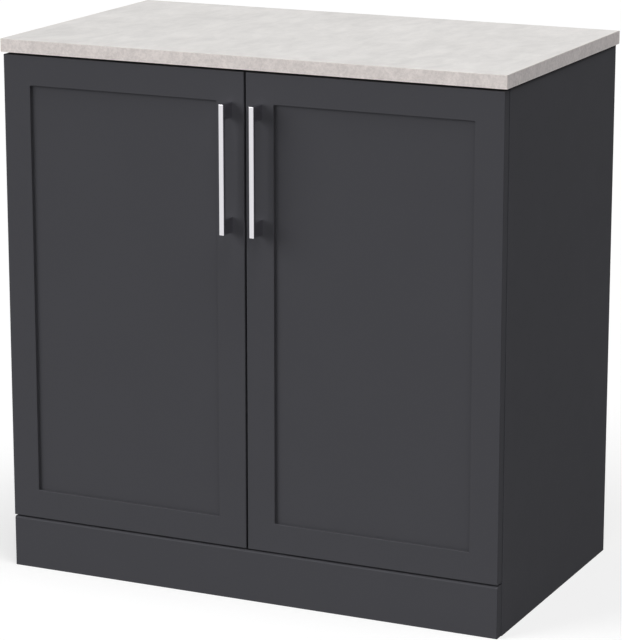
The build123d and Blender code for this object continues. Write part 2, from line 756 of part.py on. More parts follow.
with BuildPart() as arm_pins:
    for level, z in hinge_levels:
        with BuildSketch(Plane.XY.offset(z - arm_outer_layer - pin_head)):
            with Locations(hinge_point(outer_arm_pivot)):
                Circle(arm_pin_radius)
            with Locations(hinge_point(inner_arm_pivot)):
                Circle(link_pin_radius)
        extrude(amount=2 * (arm_outer_layer + pin_head))
save_pair(arm_pins, "arm_pins")

# Mounting plates on the side panels: a block for the arm between two screw wings.
plate_row = door_back + plate_line
plate_middle = door_back + (plate_start + arm_back) / 2
for level, z in hinge_levels:
    with BuildPart() as mounting_plate:
        with BuildSketch(inner_face(-1)):
            with Locations((plate_row, z)):
                SlotOverall(2 * (plate_screw_spread + plate_wing_half_width), 2 * plate_wing_half_width, rotation=90)
            with Locations((plate_row, z - plate_screw_spread), (plate_row, z + plate_screw_spread)):
                Circle(wood_screw_radius + hole_clearance, mode=Mode.SUBTRACT)
        extrude(amount=plate_base)
        with BuildSketch(inner_face(-1)):
            with Locations((plate_middle, z)):
                Rectangle(arm_back - plate_start, 2 * plate_block_half)
        extrude(amount=arm_height - arm_sheet)
        with BuildSketch(inner_face(-1, -arm_screw_tip + hole_clearance)):
            with Locations(*[(row, z) for row in arm_screw_rows]):
                Circle(arm_screw_radius + hole_clearance)
        extrude(amount=arm_height, mode=Mode.SUBTRACT)
    save_pair(mounting_plate, f"mounting_plate_{level}")

with BuildPart() as plate_screws:
    for level, z in hinge_levels:
        wing_points = [(plate_row, z - plate_screw_spread), (plate_row, z + plate_screw_spread)]
        arm_points = [(row, z) for row in arm_screw_rows]
        with BuildSketch(inner_face(-1, plate_screw_depth)):
            with Locations(*wing_points):
                Circle(wood_screw_radius)
        extrude(amount=plate_screw_depth + plate_base)
        with BuildSketch(inner_face(-1, -plate_base)):
            with Locations(*wing_points):
                Circle(wood_screw_head_radius)
        extrude(amount=wood_screw_head_height)
        with BuildSketch(inner_face(-1, -arm_screw_tip)):
            with Locations(*arm_points):
                Circle(arm_screw_radius)
        extrude(amount=arm_height - arm_screw_tip)
        with BuildSketch(inner_face(-1, -arm_height)):
            with Locations(*arm_points):
                Circle(arm_screw_head)
        extrude(amount=arm_screw_head_height)
save_pair(plate_screws, "plate_screws")
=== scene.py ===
import math

import bmesh
import bpy
from mathutils import Matrix, Vector


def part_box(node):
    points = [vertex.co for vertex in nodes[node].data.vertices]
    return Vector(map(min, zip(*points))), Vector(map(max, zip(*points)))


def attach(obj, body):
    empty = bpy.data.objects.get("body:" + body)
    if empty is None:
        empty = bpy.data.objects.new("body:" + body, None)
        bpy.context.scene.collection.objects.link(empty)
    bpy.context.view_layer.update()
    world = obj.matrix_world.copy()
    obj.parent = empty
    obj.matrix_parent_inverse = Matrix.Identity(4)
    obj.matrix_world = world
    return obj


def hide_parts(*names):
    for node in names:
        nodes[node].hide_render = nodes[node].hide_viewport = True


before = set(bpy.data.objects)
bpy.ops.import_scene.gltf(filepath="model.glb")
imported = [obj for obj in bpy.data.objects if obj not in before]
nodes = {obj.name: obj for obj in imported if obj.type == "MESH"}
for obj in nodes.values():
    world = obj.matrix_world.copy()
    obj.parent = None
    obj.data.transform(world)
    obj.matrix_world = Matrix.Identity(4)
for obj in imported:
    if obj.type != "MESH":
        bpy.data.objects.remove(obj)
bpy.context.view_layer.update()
scene = bpy.context.scene

# The photographer's view: a long lens in front of the vanity, to its right and above it. The picture is
# 622 pixels wide and 640 high, and the focal length is in the same pixels.
picture_height = 640
focal_pixels = 2969.23
sensor_width = 36.0
turn = math.radians(25.0496)
tilt = math.radians(13.9139)
camera = bpy.data.objects.new("camera", bpy.data.cameras.new("camera"))
scene.collection.objects.link(camera)
camera.data.sensor_width = sensor_width
camera.data.lens = sensor_width * focal_pixels / picture_height
camera.data.clip_end = 60.0
camera.location = (1.85848, -3.96883, 1.46747)
camera.rotation_euler = (math.pi / 2 - tilt, 0, turn)
scene.camera = camera
scene.view_settings.view_transform = "Standard"

# The studio: a pale floor that runs to a white surround, and three broad soft lamps. The camera and
# mirror-like surfaces see floor and surround as white. The floor still takes the shadow of the vanity, and
# under the base panel its glow is taken away, fading in from the back, a painted shade where it is really
# dark.


class Value:
    """A number or colour that varies over a surface. Maths on it adds the nodes that work it out."""

    def __init__(self, finish, socket):
        self.finish = finish
        self.socket = socket

    def maths(self, operation, first, second):
        return self.finish.node("ShaderNodeMath", {"operation": operation}, {0: first, 1: second})

    def __add__(self, other):
        return self.maths("ADD", self, other)

    def __sub__(self, other):
        return self.maths("SUBTRACT", self, other)

    def __rsub__(self, other):
        return self.maths("SUBTRACT", other, self)

    def __mul__(self, other):
        return self.maths("MULTIPLY", self, other)

    def __gt__(self, other):
        return self.maths("GREATER_THAN", self, other)

    def __lt__(self, other):
        return self.maths("LESS_THAN", self, other)

    def __or__(self, other):
        return self.maths("MAXIMUM", self, other)

    __radd__ = __add__
    __rmul__ = __mul__


class Finish:
    """A material: its patterns are nodes, and its surface is the shader that they feed."""

    def __init__(self, name, owner=None):
        self.material = owner or bpy.data.materials.new(name)
        self.material.use_nodes = True
        self.tree = self.material.node_tree
        self.tree.nodes.clear()

    def node(self, kind, settings={}, sockets={}, output=0):
        made = self.tree.nodes.new(kind)
        for name, setting in settings.items():
            if name == "stops":
                ramp = made.color_ramp.elements
                while len(ramp) < len(setting):
                    ramp.new(1.0)
                for stop, (place, colour) in zip(ramp, setting):
                    stop.position = place
                    stop.color = (*colour, 1.0)
            else:
                setattr(made, name, setting)
        for key, value in sockets.items():
            if isinstance(value, Value):
                self.tree.links.new(value.socket, made.inputs[key])
            elif isinstance(value, tuple):
                made.inputs[key].default_value = (*value, 1.0)[:len(made.inputs[key].default_value)]
            else:
                made.inputs[key].default_value = value
        return Value(self, made.outputs[output] if made.outputs else None)

    def place(self):
        # the point on the piece, in metres from the vanity's origin, at rest
        return self.node("ShaderNodeTexCoord", output="Object")

    def along(self, axis):
        return self.node("ShaderNodeSeparateXYZ", {}, {0: self.place()}, "XYZ".index(axis))

    def facing(self, axis):
        # how much the surface faces along the axis, from -1 to 1
        normal = self.node("ShaderNodeTexCoord", output="Normal")
        return self.node("ShaderNodeSeparateXYZ", {}, {0: normal}, "XYZ".index(axis))

    def ray(self, kind):
        # 1 for rays of the kind, which is Camera, Glossy or Transmission, and 0 for others
        return self.node("ShaderNodeLightPath", output=f"Is {kind} Ray")

    def rise(self, value, start, end):
        # from 0 at the start to 1 at the end, smoothly
        return self.node("ShaderNodeMapRange", {"interpolation_type": "SMOOTHSTEP"},
                         {0: value, 1: start, 2: end, 3: 0.0, 4: 1.0})

    def stretched(self, x, y, z, place=None):
        return self.node("ShaderNodeVectorMath", {"operation": "MULTIPLY"},
                         {0: place or self.place(), 1: (x, y, z)})

    def warped(self, scale, reach):
        # the place, pushed about at random by up to the reach
        push = self.node("ShaderNodeTexNoise", {}, {"Vector": self.place(), "Scale": scale}, "Color")
        push = self.node("ShaderNodeVectorMath", {"operation": "SCALE"}, {0: push, "Scale": reach})
        return self.node("ShaderNodeVectorMath", {"operation": "ADD"}, {0: self.place(), 1: push})

    def cloud(self, scale, detail=2.0, place=None):
        # a smooth random pattern from about -0.5 to 0.5; the scale is in patches per metre
        return self.node("ShaderNodeTexNoise", {}, {"Vector": place or self.place(), "Scale": scale,
                                                    "Detail": detail, "Roughness": 0.6}) - 0.5

    def mix(self, share, first, second):
        return self.node("ShaderNodeMix", {"data_type": "RGBA"}, {0: share, 6: first, 7: second}, 2)

    def shaded(self, colour, change):
        # the colour, lighter or darker by a share that varies
        return self.node("ShaderNodeMix", {"data_type": "RGBA", "blend_type": "MULTIPLY"},
                         {0: 1.0, 6: colour, 7: change + 1.0}, 2)

    def bumps(self, height, depth, under=None):
        sockets = {"Height": height, "Distance": depth, "Strength": 1.0}
        if under:
            sockets["Normal"] = under
        return self.node("ShaderNodeBump", {}, sockets)

    def end(self, shader, kind="ShaderNodeOutputMaterial"):
        self.node(kind, {}, {"Surface": shader})

    def surface(self, **sockets):
        named = {name.replace("_", " "): value for name, value in sockets.items()}
        self.end(self.node("ShaderNodeBsdfPrincipled", {}, named))
        return self.material


floor_half = 14.0
floor_grey = (0.50, 0.50, 0.50)
glow_for_camera = 0.56
glow_in_mirrors = 0.5
shade_reach = 0.16
shade_inset = 0.005
floor_mesh = bpy.data.meshes.new("floor")
floor_mesh.from_pydata([(-floor_half, -floor_half, 0), (floor_half, -floor_half, 0),
                        (floor_half, floor_half, 0), (-floor_half, floor_half, 0)], [], [(0, 1, 2, 3)])
floor = bpy.data.objects.new("floor", floor_mesh)
scene.collection.objects.link(floor)
floor_paint = Finish("floor_paint")
left_foot, right_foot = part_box("side_panel_left"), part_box("side_panel_right")
# painted shade: the floor's glow is taken away under the vanity, with a soft ramp in from its back edge
rear_shade = floor_paint.rise(floor_paint.along("Y"), left_foot[1].y, left_foot[1].y - shade_reach)
open_floor = 1.0 - rear_shade * (floor_paint.along("X") > left_foot[0].x + shade_inset) \
    * (floor_paint.along("X") < right_foot[1].x - shade_inset) \
    * (floor_paint.along("Y") > left_foot[0].y - shade_inset)
floor_mesh.materials.append(floor_paint.surface(
    Base_Color=floor_grey, Roughness=0.9, Specular_IOR_Level=0.0, Emission_Strength=1.0,
    Emission_Color=(floor_paint.ray("Camera") * glow_for_camera
                    + floor_paint.ray("Glossy") * glow_in_mirrors) * open_floor))

surround_light = 0.10
world = bpy.data.worlds.new("surround")
scene.world = world
surround = Finish("surround", world)
white = surround.ray("Camera") | surround.ray("Glossy") | surround.ray("Transmission")
surround.end(surround.node("ShaderNodeBackground", {}, {
    "Color": white * (1.0 - surround_light) + surround_light, "Strength": 1.0}), "ShaderNodeOutputWorld")


def lamp(name, towards, spread, power):
    # a far, broad soft box: the direction that its light travels in, how wide it looks and its strength
    light = bpy.data.lights.new(name, "SUN")
    light.angle = math.radians(spread)
    light.energy = power
    holder = bpy.data.objects.new(name, light)
    scene.collection.objects.link(holder)
    holder.rotation_euler = Vector(towards).to_track_quat("-Z", "Y").to_euler()


lamp("key_lamp", (0.72, 0.60, -0.38), 45, 0.74 * math.pi)
lamp("fill_lamp", (-0.50, 0.80, -0.33), 60, 0.06 * math.pi)
lamp("top_lamp", (-0.24, 0.10, -0.96), 28, 0.54 * math.pi)

# The carcass boards: 15 mm chipboard, faced on both sides with anthracite melamine paper that is pressed in
# with a fine pearl grain. The front edges are taped in the same colour, the tape painted paler as painted
# light against the doors' shadow, and the others are left as sawn.
anthracite = (0.0625, 0.0625, 0.0702)
melamine_skin = 0.00025
tape = 0.0008
tape_seam = 0.00012
tape_painted_light, seam_darker = 0.38, 0.45
# painted shade under the worktop: how far down the side panels it reaches and how dark it gets
painted_shade_depth = 0.0068
painted_shade_strength = 0.95
coarse_layer_half = 0.0052
coarse_scale, fine_scale = 330.0, 1100.0
flake_flatness = 2.2
flake_warp = 0.003
flake_relief = 0.0004
flake_browns = [(0.0, (0.17, 0.095, 0.045)), (0.3, (0.42, 0.28, 0.155)), (0.7, (0.56, 0.40, 0.24)),
                (1.0, (0.68, 0.52, 0.34))]


def chipboard(finish, thickness_axis, middle):
    # coarse flakes in the middle of the board and finer ones near its faces; returns colour and height
    from_middle = finish.node("ShaderNodeMath", {"operation": "ABSOLUTE"},
                              {0: finish.along(thickness_axis) - middle})
    fine = (from_middle + finish.cloud(260) * flake_warp) > coarse_layer_half
    flat = [flake_flatness if axis == thickness_axis else 1.0 for axis in "XYZ"]
    flake_place = finish.stretched(*flat, finish.warped(300.0, flake_warp))
    coarse_flakes, fine_flakes = [finish.node("ShaderNodeSeparateColor", {}, {0: finish.node(
        "ShaderNodeTexVoronoi", {}, {"Vector": flake_place, "Scale": scale, "Randomness": 1.0}, "Color")})
        for scale in (coarse_scale, fine_scale)]
    shade = coarse_flakes * (1.0 - fine) + fine_flakes * fine
    wood = finish.node("ShaderNodeValToRGB", {"stops": flake_browns}, {0: shade + finish.cloud(900) * 0.35})
    return wood, shade


def melamine(finish):
    # returns the colour, the roughness and the normal of the paper
    pearl = finish.cloud(1500, 1.0)
    tone = finish.cloud(9, 4.0) * 0.07 + finish.cloud(420) * 0.05 + pearl * 0.04
    return finish.shaded(anthracite, tone), 0.84 + finish.cloud(30, 3.0) * 0.12, finish.bumps(pearl, 0.00006)


def faced_board(name, thickness_axis, taped=True):
    low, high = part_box(name)
    axis = "XYZ".index(thickness_axis)
    finish = Finish(name + "_faced_board")
    across = finish.along(thickness_axis)
    backward = finish.along("Y")
    sawn = (across > low[axis] + melamine_skin) * (across < high[axis] - melamine_skin)
    colour, roughness, normal = melamine(finish)
    if taped:
        sawn = sawn * (backward > low.y + tape)
        seam = (backward > low.y + tape) * (backward < low.y + tape + tape_seam)
        on_tape = backward < low.y + tape
        # the tape is painted paler, painted light that lifts it out of the doors' shadow; the seam beside it
        # is a dark joint
        colour = finish.shaded(colour, on_tape * tape_painted_light - seam * seam_darker)
    if thickness_axis == "X":
        # painted shade: a side panel darkens smoothly towards the worktop, in place of the shadow under its
        # overhang
        painted_shade_under_worktop = finish.rise(finish.along("Z"), high.z - painted_shade_depth, high.z)
        colour = finish.shaded(colour, painted_shade_under_worktop * -painted_shade_strength)
    wood, flakes = chipboard(finish, thickness_axis, (low[axis] + high[axis]) / 2)
    nodes[name].data.materials[0] = finish.surface(
        Base_Color=finish.mix(sawn, colour, wood), Roughness=roughness * (1.0 - sawn) + sawn * 0.95,
        Specular_IOR_Level=0.1, Normal=finish.bumps(sawn * flakes, flake_relief, normal))


faced_board("side_panel_left", "X")
faced_board("side_panel_right", "X")
faced_board("base_panel", "Z")
faced_board("front_top_rail", "Z")
faced_board("rear_top_rail", "Z")
faced_board("wall_rail_lower", "Y", taped=False)
faced_board("wall_rail_upper", "Y", taped=False)

# Dowels and cam fittings hold the boards together: ribbed beech dowels, glued in, and cast zinc cam locks
# under the boards that grip the heads of steel bolts in the side panels.


def plated(name, colour, roughness, *node_names):
    # plated metal with faint drawing marks and a slightly uneven gloss, for these nodes and for new pieces
    finish = Finish(name)
    marks = finish.cloud(900, 2.0, finish.stretched(1.0, 1.0, 6.0))
    uneven = finish.cloud(70, 3.0)
    metal = finish.surface(
        Base_Color=finish.shaded(colour, marks * 0.06 + uneven * 0.08), Metallic=1.0,
        Roughness=roughness + marks * 0.06 + uneven * 0.05, Normal=finish.bumps(marks, 0.00001))
    for node_name in node_names:
        nodes[node_name].data.materials[0] = metal
    return metal


dowel_finish = Finish("beech")
beech_grain = dowel_finish.cloud(60, 4.0, dowel_finish.stretched(1.0, 9.0, 9.0))
nodes["dowels"].data.materials[0] = dowel_finish.surface(
    Base_Color=dowel_finish.shaded((0.60, 0.42, 0.26), beech_grain * 0.5 + dowel_finish.cloud(1500) * 0.2),
    Roughness=0.7 + beech_grain * 0.2, Normal=dowel_finish.bumps(beech_grain, 0.0001))
cast_finish = Finish("cast_zinc")
cast_grain = cast_finish.cloud(1300, 3.0)
nodes["cam_locks"].data.materials[0] = cast_finish.surface(
    Base_Color=cast_finish.shaded((0.50, 0.50, 0.50), cast_grain * 0.3 + cast_finish.cloud(120) * 0.2),
    Metallic=1.0, Roughness=0.48 + cast_grain * 0.25, Normal=cast_finish.bumps(cast_grain, 0.00006))
plated("bolt_zinc", (0.62, 0.61, 0.58), 0.30, "cam_bolts")

# The back panel: 3 mm hardboard that slides in grooves. Its front is printed anthracite, and its rear shows
# the brown wood fibres and the weave of the screen that it was pressed on.
print_thickness = 0.0003
weave_radians_per_metre = 3900.0
back_finish = Finish("hardboard")
bare_back = back_finish.along("Y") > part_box("back_panel")[0].y + print_thickness
fibres = back_finish.cloud(420, 5.0, back_finish.stretched(0.35, 1.0, 1.0)) \
    + back_finish.cloud(420, 5.0, back_finish.stretched(1.0, 1.0, 0.35))
warp, weft = [back_finish.node("ShaderNodeMath", {"operation": "SINE"},
                               {0: back_finish.along(axis) * weave_radians_per_metre})
              for axis in "XZ"]
weave = warp * weft * 0.5
print_grain = back_finish.cloud(900)
hardboard_tone = fibres * 0.8 + back_finish.cloud(12, 4.0) * 0.25 + weave * 0.10
hardboard_brown = back_finish.shaded((0.235, 0.135, 0.070), hardboard_tone)
nodes["back_panel"].data.materials[0] = back_finish.surface(
    Base_Color=back_finish.mix(bare_back, back_finish.shaded(
        anthracite, print_grain * 0.08 + back_finish.cloud(7, 3.0) * 0.08), hardboard_brown),
    Roughness=0.82 + print_grain * 0.1, Specular_IOR_Level=0.1,
    Normal=back_finish.bumps(bare_back * (weave + fibres * 0.8) + print_grain * 0.1, 0.0003))

# The shelf: a loose board of the same faced chipboard, taped in front, on four plated steel pins with a
# thin collar.
faced_board("shelf", "Z")
plated("pin_nickel", (0.66, 0.65, 0.62), 0.24, "shelf_pins")

# The plinth board and the doors are MDF. A smooth anthracite foil covers the front, the edges and the
# routed recess, painted paler as a highlight on rounded edges that face up and forward, and the back has a
# thin paper.
back_paper = 0.00035


def foiled(name, painted_highlight):
    low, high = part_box(name)
    finish = Finish(name + "_foil")
    rear = finish.along("Y") > high.y - back_paper
    # painted highlight: rounded edges that face up and forward are painted paler
    stretched = (finish.facing("Z") > 0.2) * (finish.facing("Z") < 0.97) * (finish.facing("Y") < -0.2)
    grain = finish.cloud(2100, 1.0)
    orange_peel = finish.cloud(190, 2.0)
    soft_patches = finish.cloud(6, 3.0)
    paper_grain = finish.cloud(800, 3.0)
    handling = finish.cloud(17, 4.0)
    nodes[name].data.materials[0] = finish.surface(
        Base_Color=finish.shaded(anthracite, soft_patches * 0.06 + orange_peel * 0.03 + grain * 0.04
                                 + rear * (paper_grain * 0.14 - 0.05) + stretched * painted_highlight),
        Roughness=0.84 + handling * 0.10 + rear * 0.06, Specular_IOR_Level=0.1,
        Normal=finish.bumps(grain * 0.4 + orange_peel + rear * paper_grain, 0.00005))


foiled("plinth_board", 0.32)

# The plinth's corner blocks: sawn softwood, with growth rings at the ends and long grain on the sides,
# screwed to the plinth board and to the side panels.
block_finish = Finish("softwood")
ring_place = block_finish.node("ShaderNodeVectorMath", {"operation": "ADD"}, {
    0: block_finish.stretched(1.0, 1.0, 0.12), 1: (0.02, 0.05, 0.0)})
rings = block_finish.node(
    "ShaderNodeTexWave", {"wave_type": "RINGS", "rings_direction": "Z", "wave_profile": "SAW"},
    {"Vector": ring_place, "Scale": 110.0, "Distortion": 2.5, "Detail": 2.0, "Detail Scale": 1.5}, "Fac")
saw_marks = block_finish.cloud(700, 2.0, block_finish.stretched(1.0, 1.0, 3.0))
nodes["plinth_blocks"].data.materials[0] = block_finish.surface(
    Base_Color=block_finish.mix(rings, (0.66, 0.48, 0.29), (0.45, 0.27, 0.13)),
    Roughness=0.8 + saw_marks * 0.15, Specular_IOR_Level=0.3,
    Normal=block_finish.bumps(saw_marks + rings * 0.3, 0.0002))

# Screws: cold-headed steel, bright zinc plated, with pan heads and a pressed cross recess. Each new group
# stands for the plain heads and shanks of one node.


def spin(mesh, rings, sides, put):
    # turns a profile of radius and height pairs about its axis; returns its last ring
    before = None
    for radius, height in rings:
        angles = [2 * math.pi * k / sides for k in range(sides)] if radius else [0]
        ring = [mesh.verts.new(put @ Vector((radius * math.cos(angle), radius * math.sin(angle), height)))
                for angle in angles]
        if before:
            for k in range(sides):
                corners = [before[k % len(before)], before[(k + 1) % len(before)],
                           ring[(k + 1) % len(ring)], ring[k % len(ring)]]
                mesh.faces.new(list(dict.fromkeys(corners)))
        before = ring
    return before


pan_head = [(0.97, 0), (1.0, 0.12), (1.0, 0.4), (0.93, 0.66), (0.80, 0.86), (0.66, 0.96), (0.56, 1.0)]


def screw(mesh, seat, towards, head_radius, head_height, shank_radius, shank_length):
    # a screw whose head lies on its seat, with the shank running the other way
    put = Matrix.Translation(seat) @ Vector(towards).to_track_quat("Z", "Y").to_matrix().to_4x4()
    point = 2.5 * shank_radius
    tip_radius = pitch = shank_radius * 0.55
    root_radius = shank_radius * 0.8
    profile = [(0, -shank_length), (tip_radius, point / 2 - shank_length)]
    threads = max(int((shank_length - point) / pitch), 2)
    for half_turn in range(2 * threads + 1):
        height = point - shank_length + (shank_length - point) * half_turn / (2 * threads)
        profile.append((root_radius if half_turn % 2 else shank_radius, height))
    profile += [(head_radius * radius_share, head_height * height_share)
                for radius_share, height_share in pan_head]
    rim = spin(mesh, profile, 24, put)
    recess_depth = head_height * 0.62
    crosses = []
    for arm, half, height in ((head_radius * 0.46, head_radius * 0.095, head_height),
                              (head_radius * 0.27, head_radius * 0.075, head_height - recess_depth)):
        corners = [(arm, -half), (arm, half), (half, half)]
        crosses.append([mesh.verts.new(put @ Vector((x * c - y * s, x * s + y * c, height)))
                        for c, s in ((1, 0), (0, 1), (-1, 0), (0, -1)) for x, y in corners])
    upper, lower = crosses
    for k in range(len(upper)):
        after = (k + 1) % len(upper)
        mesh.faces.new((upper[k], upper[after], lower[after], lower[k]))
    mesh.faces.new(lower)
    edges = [mesh.edges.get((loop[k], loop[(k + 1) % len(loop)]))
             for loop in (rim, upper) for k in range(len(loop))]
    bmesh.ops.triangle_fill(mesh, use_beauty=True, edges=edges)


def piece(name, mesh, material, body, slot_name, *replaced, crease=32):
    # closes a new mesh into a named piece that rides with its body and stands for CAD nodes
    bmesh.ops.recalc_face_normals(mesh, faces=mesh.faces)
    data = bpy.data.meshes.new(name)
    mesh.to_mesh(data)
    mesh.free()
    data.materials.append(material)
    for face in data.polygons:
        face.use_smooth = True
    data.set_sharp_from_angle(angle=math.radians(crease))
    made = bpy.data.objects.new(name, data)
    scene.collection.objects.link(made)
    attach(made, body)
    if replaced:
        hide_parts(*replaced)
    return made


zinc = plated("screw_zinc", (0.64, 0.64, 0.62), 0.26)
# a screw's head radius, head height and shank radius
wood_screw = 0.0034, 0.0016, 0.0019
worktop_screw_offset, worktop_screw_length = 0.268, 0.030
inner_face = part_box("base_panel")[1].x
door_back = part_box("door_left")[1].y
carcass_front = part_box("side_panel_left")[0].y
block_low, block_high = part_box("plinth_blocks")
block_size = 0.022
block_screw_length = block_size + 0.010
block_tall = block_high.z - block_low.z

plinth_screw_mesh = bmesh.new()
for side in (-1, 1):
    rear_seat = (side * (inner_face - block_size / 2), carcass_front + block_size,
                 block_low.z + block_tall / 4)
    screw(plinth_screw_mesh, rear_seat, (0, 1, 0), *wood_screw, block_screw_length)
    inner_seat = (side * (inner_face - block_size), carcass_front + block_size / 2,
                  block_low.z + block_tall * 3 / 4)
    screw(plinth_screw_mesh, inner_seat, (-side, 0, 0), *wood_screw, block_screw_length)
piece("plinth_block_screws", plinth_screw_mesh, zinc, "carcass", "zinc_screws", "plinth_screws")

worktop_screw_mesh = bmesh.new()
for rail_low, rail_high in (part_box("front_top_rail"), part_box("rear_top_rail")):
    for across in (-worktop_screw_offset, worktop_screw_offset):
        seat = (across, (rail_low.y + rail_high.y) / 2, rail_low.z)
        screw(worktop_screw_mesh, seat, (0, 0, -1), *wood_screw, worktop_screw_length)
piece("worktop_fixing_screws", worktop_screw_mesh, zinc, "carcass", "zinc_screws", "worktop_screws")

# The worktop: a chipboard core with brown backing paper underneath. A stone-effect laminate covers the top,
# and strips of a slightly warmer laminate are glued to the front and the ends, with arrises eased by hand.
backing_thickness = 0.0003
core_low, core_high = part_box("worktop_core")
core_finish = Finish("worktop_core_chipboard")
core_colour, core_flakes = chipboard(core_finish, "Z", (core_low.z + core_high.z) / 2)
backing = core_finish.along("Z") < core_low.z + backing_thickness
backing_grain = core_finish.cloud(300, 4.0) * 0.25 + core_finish.cloud(8) * 0.1
nodes["worktop_core"].data.materials[0] = core_finish.surface(
    Base_Color=core_finish.mix(backing, core_colour, core_finish.shaded((0.36, 0.25, 0.16), backing_grain)),
    Roughness=0.9 + core_finish.cloud(200) * 0.1, Specular_IOR_Level=0.2,
    Normal=core_finish.bumps(core_flakes * (1.0 - backing), flake_relief))

stone = Finish("stone_laminate")
stone_drift = stone.warped(9.0, 0.05)
brushed = stone.stretched(1.0, 0.40, 1.0, stone_drift)


def patches(finish, scale, place=None, detail=3.0, soft=0.07):
    # a random pattern drawn together into pale and dark patches, from -0.5 to 0.5
    dark_to_pale = [(0.5 - soft, (0, 0, 0)), (0.5 + soft, (1, 1, 1))]
    return finish.node("ShaderNodeValToRGB", {"stops": dark_to_pale},
                       {0: finish.cloud(scale, detail, place) + 0.5}) - 0.5


stone_mottle = stone.cloud(42, 3.0, brushed)
stone_grain = stone.cloud(150, 3.0)
stone_speckle = stone.cloud(620, 2.0)
pores = stone.node("ShaderNodeTexVoronoi", {},
                   {"Vector": stone_drift, "Scale": 95.0, "Randomness": 1.0}) < 0.11
stone_tone = stone.cloud(9, 2.0, stone_drift) * 0.18 + patches(stone, 20, brushed) * 0.042 \
    + patches(stone, 60, brushed, 2.0) * 0.030 + stone_mottle * 0.24 + stone_grain * 0.08 \
    + stone_speckle * 0.05 - pores * 0.05 + stone.along("X") * 0.045
slab_low, slab_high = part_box("worktop_laminate")
arris_highlight_band = 0.003
top_colour, arris_highlight_colour = (0.736, 0.717, 0.701), (0.788, 0.752, 0.722)
# painted highlight: a paler, warmer band along the top's front and end arrises
arris_highlight = (stone.along("Y") < slab_low.y + arris_highlight_band) | (stone.along("X") > slab_high.x - arris_highlight_band) \
    | (stone.along("X") < slab_low.x + arris_highlight_band)
stone_colour = stone.mix(arris_highlight * 0.8, top_colour, arris_highlight_colour)
nodes["worktop_laminate"].data.materials[0] = stone.surface(
    Base_Color=stone.shaded(stone_colour, stone_tone),
    Roughness=0.55 + stone_mottle * 0.15 + stone_speckle * 0.1, Specular_IOR_Level=0.15,
    Normal=stone.bumps(stone_grain + stone_speckle * 0.5 - pores * 0.6, 0.00008))

# the end strips are painted a shade paler and less warm than the front one, painted light on the same
# laminate
front_strip_colour, end_strip_painted_light_colour = (0.738, 0.683, 0.659), (0.754, 0.703, 0.693)
upper_highlight_band, lower_highlight_band = 0.0005, 0.0014
for edging_name in ("worktop_edging_front", "worktop_edging_left", "worktop_edging_right"):
    strip_colour = front_strip_colour if edging_name == "worktop_edging_front" else end_strip_painted_light_colour
    strip_low, strip_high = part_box(edging_name)
    edging = Finish(edging_name + "_strip")
    flecks = patches(edging, 260, None, 2.0, 0.05)
    fine_flecks = edging.cloud(700, 2.0)
    strip_tone = patches(edging, 45, None, 4.0) * 0.075 + flecks * 0.085 + edging.cloud(150, 3.0) * 0.22 \
        + fine_flecks * 0.12
    up = edging.along("Z")
    # painted highlight: thin bands along the strip's upper and lower arrises are painted paler
    painted_arris_highlight = (up > strip_high.z - upper_highlight_band) + (up < strip_low.z + lower_highlight_band)
    nodes[edging_name].data.materials[0] = edging.surface(
        Base_Color=edging.shaded(strip_colour, strip_tone + painted_arris_highlight * 0.10),
        Roughness=0.6 + fine_flecks * 0.15, Specular_IOR_Level=0.15,
        Normal=edging.bumps(flecks * 0.3 + fine_flecks, 0.00006))

# The doors: foiled slabs with a recess routed into the front, as the plinth board above. Clear elastomer
# bumpers, domed and self-adhesive, quieten them against the base panel and the top rail.
foiled("door_left", 0.10)
foiled("door_right", 0.10)
clear = Finish("bumper_clear")
bumper_haze = clear.cloud(350, 2.0)
clear_bumper = clear.surface(
    Base_Color=clear.shaded((0.80, 0.81, 0.81), bumper_haze * 0.1), Roughness=0.28 + bumper_haze * 0.15,
    Transmission_Weight=0.6, IOR=1.45, Normal=clear.bumps(bumper_haze, 0.00002))
bumper_dome = [(0, 0), (0.985, 0), (1.0, 0.12), (0.98, 0.4), (0.9, 0.7), (0.72, 0.9), (0.4, 0.985),
               (0, 1.0)]
for side_name in ("left", "right"):
    bumper_low, bumper_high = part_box("bumpers_" + side_name)
    bumper_radius = (bumper_high.x - bumper_low.x) / 2
    bumper_height = bumper_high.y - bumper_low.y
    bumper_mesh = bmesh.new()
    for up in (bumper_low.z + bumper_radius, bumper_high.z - bumper_radius):
        put = Matrix.Translation(((bumper_low.x + bumper_high.x) / 2, bumper_low.y, up)) \
            @ Matrix.Rotation(-math.pi / 2, 4, "X")
        spin(bumper_mesh, [(bumper_radius * radius_share, bumper_height * height_share)
                           for radius_share, height_share in bumper_dome], 32, put)
    piece("door_bumpers_" + side_name, bumper_mesh, clear_bumper, side_name + "_door", "bumper_plastic",
          "bumpers_" + side_name, crease=60)

# The handles: a slim rectangular bar, cast in zinc in one piece with its two legs, polished and chromed,
# and held by two screws from behind the door.
chrome = Finish("polished_chrome")
chrome_wave = chrome.cloud(45, 2.0)
chrome_haze = chrome.cloud(600, 3.0)
polished_chrome = chrome.surface(
    Base_Color=chrome.shaded((0.782, 0.768, 0.80), chrome_haze * 0.03), Metallic=1.0,
    Roughness=0.09 + chrome_haze * 0.05 + chrome_wave * 0.03, Normal=chrome.bumps(chrome_wave, 0.00003))
bar_thickness = 0.0065
leg_height = 0.0225
fillet = 0.0026
bar_end_round = 0.0007
bar_ease = 0.00006
arris_round = 0.0004
machine_screw, machine_screw_length = (0.0040, 0.0022, 0.00195), 0.025


def arc(centre, radius, start, steps=6):
    # a quarter turn in the handle's side view, as (distance from the front, height) points
    angles = [math.radians(start + 90 * k / steps) for k in range(steps + 1)]
    return [(centre[0] + radius * math.cos(angle), centre[1] + radius * math.sin(angle)) for angle in angles]


